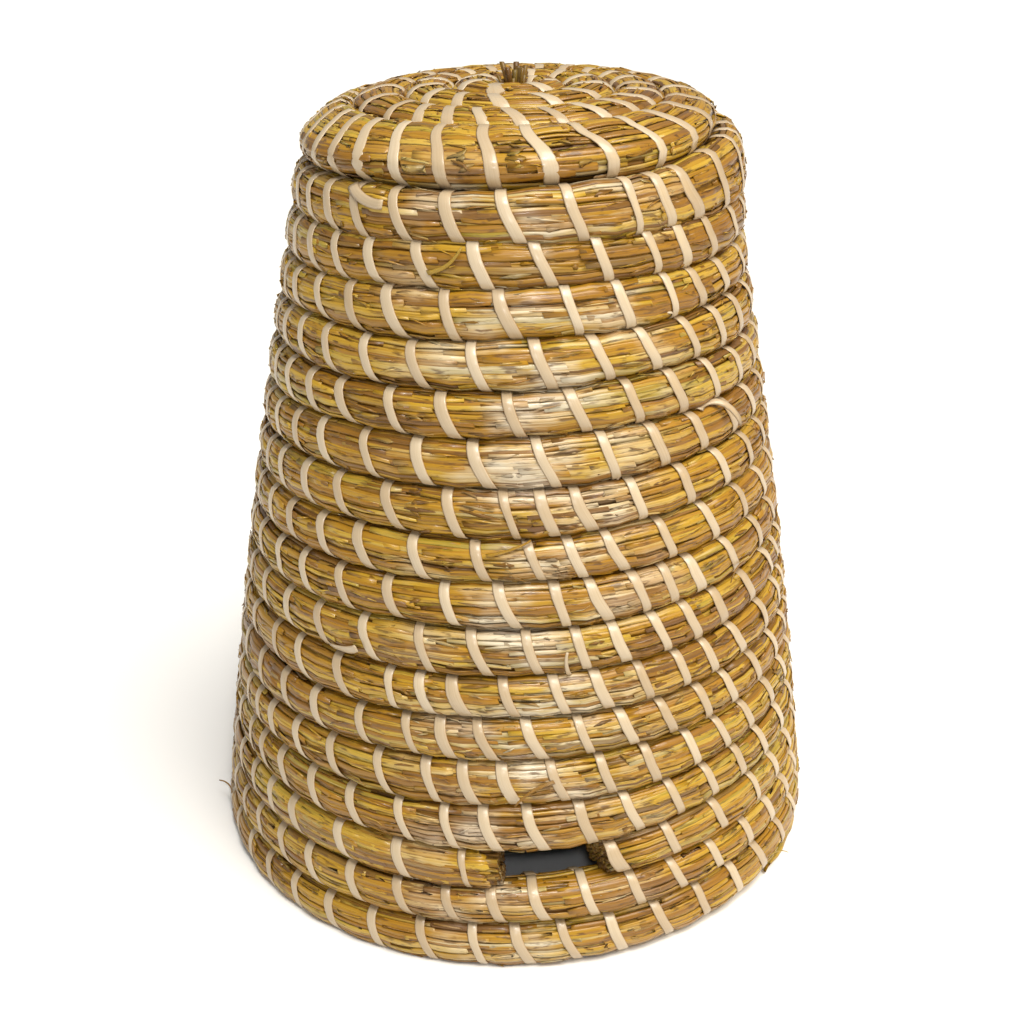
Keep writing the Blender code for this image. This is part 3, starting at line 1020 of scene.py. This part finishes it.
def straw_paint(name, darkness, coat):
    """Dry glossy straw: each stalk has its own tone, streaks along it and brown blotches, with painted shade
    along its edges and a painted sheen on the front.
    """
    paint = Paint(name)
    streak, blotch, patch = paint.group(GRAIN)
    tone = paint.attribute("tone") * 0.66 + patch.varied(0.8) + streak.varied(0.4) + 0.17
    colour = paint.ramp(tone, STRAW_COLOURS)
    # painted sheen: the middle of the front is whitened as if by a highlight
    colour = paint.mixed(front_bleach(paint, streak), colour, PAINTED_SHEEN_COLOUR)
    colour = paint.mixed(blotch, colour, SPECK)
    colour = paint.mixed(streak.below(0.43, steepness=5.0, most=0.5), colour, STREAK_LINE)
    # painted shade: each stalk darkens towards its edges, where the gaps between stalks are shaded
    edge_shade = paint.attribute("side").worked("ABSOLUTE").above(0.72, steepness=2.0, most=0.5)
    colour = paint.mixed(edge_shade, colour, STALK_EDGE_SHADE)
    aged = paint.attribute("age").above(0.86, steepness=8.0, most=0.8)
    colour = paint.mixed(aged, colour, OLD_STALK)
    # darkness mixes towards a dark brown; on the under layer it is painted shade, as that layer lies beneath
    # the outer stalks
    colour = paint.mixed(darkness, colour, SHADED_STALK)
    paint.set("Specular IOR Level", 0.35)
    paint.bumped(streak, distance=0.0004, strength=0.9)
    return paint.finished(colour, streak * 0.3 + 0.24, coat, coat_roughness=0.16)


def banded_straw_paint(name):
    """The same straw under the outer stalks: bands round the rope stand for single stalks."""
    paint = Paint(name)
    streak, blotch, patch = paint.group(GRAIN)
    across = fibre_parts(paint)[1]
    band = (across * BANDS_PER_METRE + streak * 0.6).worked("FLOOR")
    tone = paint.node("ShaderNodeTexWhiteNoise", {"W": band}, noise_dimensions="1D")
    colour = paint.ramp(tone * 0.8 + patch.varied(0.6) + streak.varied(0.5), STRAW_COLOURS)
    colour = paint.mixed(blotch, colour, SPECK)
    colour = paint.mixed(0.35, colour, CORE_SHADE)
    paint.bumped(streak, distance=0.0006, strength=1.0)
    return paint.finished(colour, streak * 0.3 + 0.35, coat=0.0, coat_roughness=0.3)


CANE_COLOURS = (
    (0.00, (0.40, 0.29, 0.165)),
    (0.35, (0.48, 0.37, 0.235)),
    (0.75, (0.56, 0.455, 0.310)),
    (1.00, (0.64, 0.54, 0.395)),
)
CANE_EDGE_SHADE = (0.30, 0.15, 0.05)
CANE_SPECK = (0.30, 0.17, 0.07)


def cane_paint():
    """Pale split cane: fine grain along it, a few specks, and painted shade darkening its edges."""
    paint = Paint("split_cane_pale")
    grain = paint.group(GRAIN, across_scale=9.0, blotch_scale=9.0, blotch_amount=0.30)
    streak, blotch, patch = grain
    tone = paint.attribute("tone") * 0.55 + streak * 0.4 + patch.varied(0.5)
    colour = paint.ramp(tone, CANE_COLOURS)
    from_middle = fibre_parts(paint)[1].worked("ABSOLUTE") * 2.0
    # painted shade: the edges of each strip are darkened where it meets the straw
    colour = paint.mixed(from_middle.above(0.86, steepness=5.0, most=0.65), colour, CANE_EDGE_SHADE)
    colour = paint.mixed(blotch, colour, CANE_SPECK)
    paint.bumped(streak, distance=0.00012, strength=0.6)
    return paint.finished(colour, streak * 0.2 + 0.26, coat=0.30, coat_roughness=0.18)


def floor_paint():
    """White, with the faintest cloudiness."""
    paint = Paint("floor_white")
    shade = paint.noise(object_place(paint), 2.0, scale=2.0) * 0.01 + 0.90
    white = {"Red": shade, "Green": shade, "Blue": shade}
    paint.set("Base Color", paint.node("ShaderNodeCombineColor", white))
    paint.set("Roughness", 0.9)
    paint.set("Specular IOR Level", 0.1)
    return paint.material


STRAW = straw_paint("straw_gold", 0.0, 0.30)
UNDER_STRAW = straw_paint("straw_under", 0.15, 0.15)
CORE_STRAW = banded_straw_paint("straw_core")
CUT_STRAW = straw_paint("straw_cut_ends", 0.52, 0.0)
LEAF_STRAW = straw_paint("straw_leaves", 0.40, 0.10)
TUFT_STRAW = straw_paint("straw_tuft", 0.70, 0.0)
CANE = cane_paint()


# The pieces

GUIDE = rope_guide()
STRAW_TREE = straw_tree()
CORE_TREE = core_tree()
STITCH_TREE = stitch_tree()
TAIL_TREE = tail_tree()
TUFT_TREE = tuft_tree()


def put_in_scene(name, data):
    made = bpy.data.objects.new(name, data)
    bpy.context.scene.collection.objects.link(made)
    return made


def grown(name, tree, values):
    """What a tree makes on the rope's guide, as a plain object with no modifier."""
    holder = put_in_scene(name + "_source", GUIDE)
    growth = holder.modifiers.new("growth", "NODES")
    growth.node_group = tree
    labelled = {label_of(word): value for word, value in values.items()}
    for item in tree.interface.items_tree:
        if item.in_out == "INPUT" and item.name in labelled:
            growth[item.identifier] = labelled[item.name]
    graph = bpy.context.evaluated_depsgraph_get()
    mesh = bpy.data.meshes.new_from_object(holder.evaluated_get(graph))
    bpy.data.objects.remove(holder)
    mesh.name = name
    return put_in_scene(name, mesh)


def add_piece(name, tree, slot, replaced, **values):
    """Grows a piece, hangs it from the body it rides on and hides the imported parts that it stands for."""
    piece = grown(name, tree, values)
    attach(piece, BODY)
    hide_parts(*replaced)


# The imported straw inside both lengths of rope, which stops short of their ends
CORE_SHORTER = 0.66
CORES = {
    "rope_core_foot": (FOOT_START, FOOT_END, "foot_straw", "straw_rope_foot"),
    "rope_core_upper": (WALL_START, CROWN_END, "straw", "straw_rope_upper"),
}
for name, (start, end, slot, node) in CORES.items():
    add_piece(
        name, CORE_TREE, slot, [node], material=CORE_STRAW, rings=2 * math.ceil(end - start),
        rope_start=start + CORE_SHORTER, rope_end=end - CORE_SHORTER,
    )

# The stretches of rope that are drawn one by one, and the layers of stalks on each of them
START_BEVEL = 0.62
END_BEVEL = 0.15
START_MARGIN = 0.10
END_MARGIN = 0.24
ZONES = ("low_wall", "mid_wall", "high_wall", "crown")
BORDERS = np.linspace(WALL_START, SHOULDER, len(ZONES)).tolist() + [CROWN_END]
STRETCHES = {"foot": (FOOT_START, FOOT_END), **dict(zip(ZONES, zip(BORDERS, BORDERS[1:])))}
FOOT_ROPE = dict(
    rope_start=FOOT_START, rope_end=FOOT_END - END_MARGIN, fray=0.30, end_bevel=END_BEVEL,
)
UPPER_ROPE = dict(
    rope_start=WALL_START + START_MARGIN, rope_end=CROWN_END, fray=0.07, start_bevel=START_BEVEL,
)

OUTSIDE = dict(from_around=math.radians(-88.0), to_around=math.radians(88.0))
INSIDE = dict(from_around=math.radians(92.0), to_around=math.radians(268.0))
SHORT = dict(starts_each_stitch=1, shortest=1, longest=1)
STRAW_LAYERS = {
    "straw_under": dict(
        OUTSIDE, material=UNDER_STRAW, lanes=15, lane_step=3.0, width=0.0036, thickness=0.0012,
        lowest=-0.0011, highest=-0.0005, slope=0.03, longest=6, sides=4,
    ),
    "straw": dict(
        OUTSIDE, material=STRAW, lanes=15, lane_step=2.9, width=0.0037, thickness=0.0012,
        slope=0.05,
    ),
    "straw_shreds": dict(
        OUTSIDE, **SHORT, material=STRAW, lanes=3, lane_step=1.0, width=0.0012,
        thickness=0.0007, lowest=0.0003, highest=0.0008, slope=0.26,
        tip_from=0.14, tip_to=0.42, tip_lift=0.0006, tip_taper=0.7, sides=3,
    ),
    "straw_leaves": dict(
        OUTSIDE, **SHORT, material=LEAF_STRAW, lanes=2, lane_step=1.0, width=0.0024,
        thickness=0.0006, lowest=0.0001, highest=0.0006, slope=0.20,
        tip_from=0.16, tip_to=0.50, tip_lift=0.0009, tip_taper=0.85, sides=4,
    ),
    "straw_inside": dict(
        INSIDE, material=STRAW, lanes=15, lane_step=4.2, width=0.0031, sides=4,
    ),
}
for number, (zone, (first, last)) in enumerate(STRETCHES.items()):
    foot = zone == "foot"
    slot, node = ("foot_straw", "straw_rope_foot") if foot else ("straw", "straw_rope_upper")
    common = dict(FOOT_ROPE if foot else UPPER_ROPE, first_stitch=first, last_stitch=last)
    common["steps"] = 4 if zone in ("foot", "crown") else 2
    for layer, (label, sizes) in enumerate(STRAW_LAYERS.items()):
        values = {**common, **sizes, "seed": 10 + 20 * layer + number}
        add_piece(label + "_" + zone, STRAW_TREE, slot, [node], **values)

CANE_NODES = sorted(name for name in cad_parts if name.startswith("cane_"))
for number, (zone, (first, last)) in enumerate(STRETCHES.items()):
    share = [name for name in CANE_NODES if name.startswith("cane_foot") == (zone == "foot")]
    add_piece(
        "cane_" + zone, STITCH_TREE, "split_cane", share, material=CANE,
        first_stitch=first, last_stitch=last, seed=50 + number,
    )

# The cut ends beside the entrance: the lower rope's end and the upper rope's start
CUT_REACH = 1.0
CUT_END = dict(
    from_around=-math.pi, to_around=math.pi, material=CUT_STRAW, lanes=90, lane_step=0.25,
    width=0.0030, thickness=0.0024, lowest=-0.0125, highest=-0.0012, wander=0.0,
    tip_from=-0.24, tip_to=0.05, tip_lift=0.0012, longest=3,
)
add_piece(
    "cut_end_left", STRAW_TREE, "straw_ends", ["straw_rope_foot"], **CUT_END, seed=70,
    first_stitch=FOOT_END - CUT_REACH, last_stitch=FOOT_END,
    **dict(FOOT_ROPE, rope_end=FOOT_END, fray=0.22),
)
add_piece(
    "cut_end_right", STRAW_TREE, "straw_ends", ["straw_rope_upper"], **CUT_END, seed=71,
    first_stitch=WALL_START, last_stitch=WALL_START + CUT_REACH,
    **dict(UPPER_ROPE, rope_start=WALL_START, fray=0.08),
)

# Loose ends of cane and straw: course, azimuth, way round the rope and direction in degrees,
# length, width, how far the tip stands off, bend and the width that is left at the tip
CANE_TAILS = (
    (16, -134.0, 52.0, -42.0, 0.026, 0.0062, 0.003, 0.4, 0.7),
    (14, -62.0, 72.0, 55.0, 0.020, 0.0060, 0.007, 0.9, 0.3),
    (14, -60.0, 76.0, 20.0, 0.016, 0.0050, 0.006, -0.7, 0.3),
    (12, -47.0, 55.0, 35.0, 0.024, 0.0062, 0.006, -1.2, 0.8),
    (7, -130.0, -46.0, 4.0, 0.024, 0.0055, 0.002, 0.2, 0.6),
    (11, -69.0, 62.0, 32.0, 0.020, 0.0028, 0.006, 0.2, 0.3),
    (2, -108.0, 66.0, -3.0, 0.022, 0.0040, 0.002, 0.2, 0.5),
    (8, -83.0, -66.0, 100.0, 0.018, 0.0035, 0.003, -0.4, 0.4),
    (4, 30.0, 40.0, 20.0, 0.022, 0.0055, 0.004, 0.7, 0.5),
    (9, 110.0, 60.0, -30.0, 0.024, 0.0058, 0.004, 0.6, 0.6),
    (13, 70.0, 50.0, 25.0, 0.020, 0.0050, 0.006, -0.9, 0.4),
    (6, 175.0, 30.0, 15.0, 0.022, 0.0045, 0.005, 0.8, 0.4),
)
STRAW_TAILS = (
    (0, -166.0, 20.0, 170.0, 0.016, 0.0016, 0.008, 0.3, 0.3),
    (3, -172.0, 50.0, 160.0, 0.012, 0.0016, 0.006, 0.4, 0.3),
    (1, -38.0, -10.0, 8.0, 0.018, 0.0018, 0.006, -0.4, 0.3),
    (5, -84.0, 10.0, 190.0, 0.030, 0.0024, 0.003, 0.2, 0.4),
    (10, -96.0, 20.0, 7.0, 0.030, 0.0019, 0.002, 0.1, 0.5),
    (16, -112.0, -20.0, 8.0, 0.026, 0.0024, 0.003, 0.3, 0.5),
    (9, -40.0, -30.0, 165.0, 0.022, 0.0020, 0.005, 0.3, 0.3),
    (7, 60.0, 10.0, 20.0, 0.026, 0.0022, 0.006, 0.4, 0.3),
    (12, 140.0, 20.0, 165.0, 0.024, 0.0022, 0.006, 0.3, 0.3),
)


def add_tail(name, number, tail, slot, node, material):
    course, azimuth, around, direction, length, width, stand, bend, tip_width = tail
    add_piece(
        name, TAIL_TREE, slot, [node], material=material, stitch=stitch_near(course, azimuth),
        around=math.radians(around), direction=math.radians(direction), length=length,
        width=width, tip_lift=stand, bend=bend, tip_width=tip_width,
        tone=0.25 + 0.5 * (number % 3) / 2.0,
    )


for number, tail in enumerate(CANE_TAILS):
    node = "cane_foot_02" if tail[0] < ENTRANCE_COURSE else "cane_wall_01"
    add_tail("cane_tail_%02d" % (number + 1), number, tail, "split_cane", node, CANE)
for number, tail in enumerate(STRAW_TAILS):
    name = "straw_tail_%02d" % (number + 1)
    add_tail(name, number, tail, "straw", "straw_rope_upper", STRAW)

# Patches of short brown straw that work out of the rope: course, first and last azimuth,
# lowest and highest way round the rope in degrees
BROWN_PATCHES = (
    (18, -110.0, -88.0, -70.0, -20.0),
    (11, -108.0, -92.0, -10.0, 70.0),
    (10, -99.0, -80.0, -60.0, 10.0),
    (5, -30.0, -14.0, -40.0, 40.0),
    (8, 40.0, 60.0, -40.0, 40.0),
    (14, 120.0, 150.0, -60.0, 10.0),
)
for number, (course, first, last, low, high) in enumerate(BROWN_PATCHES):
    add_piece(
        "brown_straw_%02d" % (number + 1), STRAW_TREE, "straw_ends", ["straw_rope_upper"],
        **SHORT, material=CUT_STRAW, lanes=4, lane_step=0.5, width=0.0026, thickness=0.0007,
        lowest=0.0002, highest=0.0008, slope=0.34,
        tip_from=0.18, tip_to=0.50, tip_lift=0.0010, tip_taper=0.8, sides=4, seed=90 + number,
        first_stitch=stitch_near(course, first), last_stitch=stitch_near(course, last),
        rope_start=WALL_START, rope_end=CROWN_END,
        from_around=math.radians(low), to_around=math.radians(high),
    )

# The tuft in the middle of the crown
TUFT_LOW, TUFT_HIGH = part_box("crown_tuft")
add_piece(
    "crown_tuft_straws", TUFT_TREE, "straw_ends", ["crown_tuft"], material=TUFT_STRAW,
    length=0.93 * (TUFT_HIGH.z - TUFT_LOW.z), base_height=TUFT_LOW.z,
)


# The stage and the photograph's camera

CAMERA_PLACE = (0.0, -0.8106, 0.583)
CAMERA_PITCH = math.radians(24.95)
CAMERA_LENS = 46.3
IMAGE_SIZE = 1024.0
AXIS_PIXEL = 515.0
DOWN_PIXELS = 4.0
MIDDLE = (0.0, 0.0, 0.25)
CROWN_FRONT = (0.0, -0.10, 0.42)
WHITE = (1.0, 1.0, 1.0)
WARM = (1.0, 0.60, 0.15)
SUNNY = (1.0, 0.95, 0.85)
SKY_STRENGTH = 0.31
FLOOR_HALF = 15.0


def light(name, kind, strength, colour, **settings):
    source = bpy.data.lights.new(name, kind)
    source.energy = strength
    source.color = colour
    for setting, value in settings.items():
        setattr(source, setting, value)
    return put_in_scene(name, source)


def soft_light(name, place, aim, size, power, colour=WHITE):
    lamp = light(name, "AREA", power, colour, shape="DISK", size=size)
    lamp.location = place
    x, y, z = np.array(aim) - np.array(place)
    lamp.rotation_euler = (math.pi / 2.0 + math.atan2(z, math.hypot(x, y)), 0.0, math.atan2(-x, y))


def sunlight(name, direction, spread, strength, colour):
    lamp = light(name, "SUN", strength, colour, angle=spread)
    lamp.rotation_euler = mathutils.Vector(direction).to_track_quat("Z", "Y").to_euler()


def floor():
    mesh = bpy.data.meshes.new("floor")
    half = FLOOR_HALF
    corners = [(-half, -half, 0.0), (half, -half, 0.0), (half, half, 0.0), (-half, half, 0.0)]
    mesh.from_pydata(corners, [], [(0, 1, 2, 3)])
    mesh.materials.append(floor_paint())
    put_in_scene("floor", mesh)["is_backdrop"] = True


def camera():
    view = bpy.data.cameras.new("camera")
    view.sensor_width = 36.0
    view.lens = CAMERA_LENS
    view.shift_x = (IMAGE_SIZE / 2.0 - AXIS_PIXEL) / IMAGE_SIZE
    view.shift_y = DOWN_PIXELS / IMAGE_SIZE
    made = put_in_scene("camera", view)
    made.location = CAMERA_PLACE
    made.rotation_euler = (math.pi / 2.0 - CAMERA_PITCH, 0.0, 0.0)
    bpy.context.scene.camera = made


floor()
camera()
soft_light("key", (0.06, -0.62, 1.20), CROWN_FRONT, 0.14, 3.5)
soft_light("flash", (0.02, -0.90, 0.70), MIDDLE, 0.06, 1.0)
soft_light("warm_side", (1.5, -0.6, 0.9), MIDDLE, 0.8, 3.8, WARM)
sunlight("overhead", (0.34, -0.26, 1.0), math.radians(40.0), 3.45, SUNNY)
world = bpy.data.worlds.new("studio")
world.use_nodes = True
backdrop = world.node_tree.nodes["Background"]
backdrop.inputs["Color"].default_value = (*WHITE, 1.0)
backdrop.inputs["Strength"].default_value = SKY_STRENGTH
bpy.context.scene.world = world
bpy.context.scene.view_settings.view_transform = "Standard"

sizes = {"cad": [list(corner) for corner in cad_box], "visual": [list(corner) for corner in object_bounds()]}
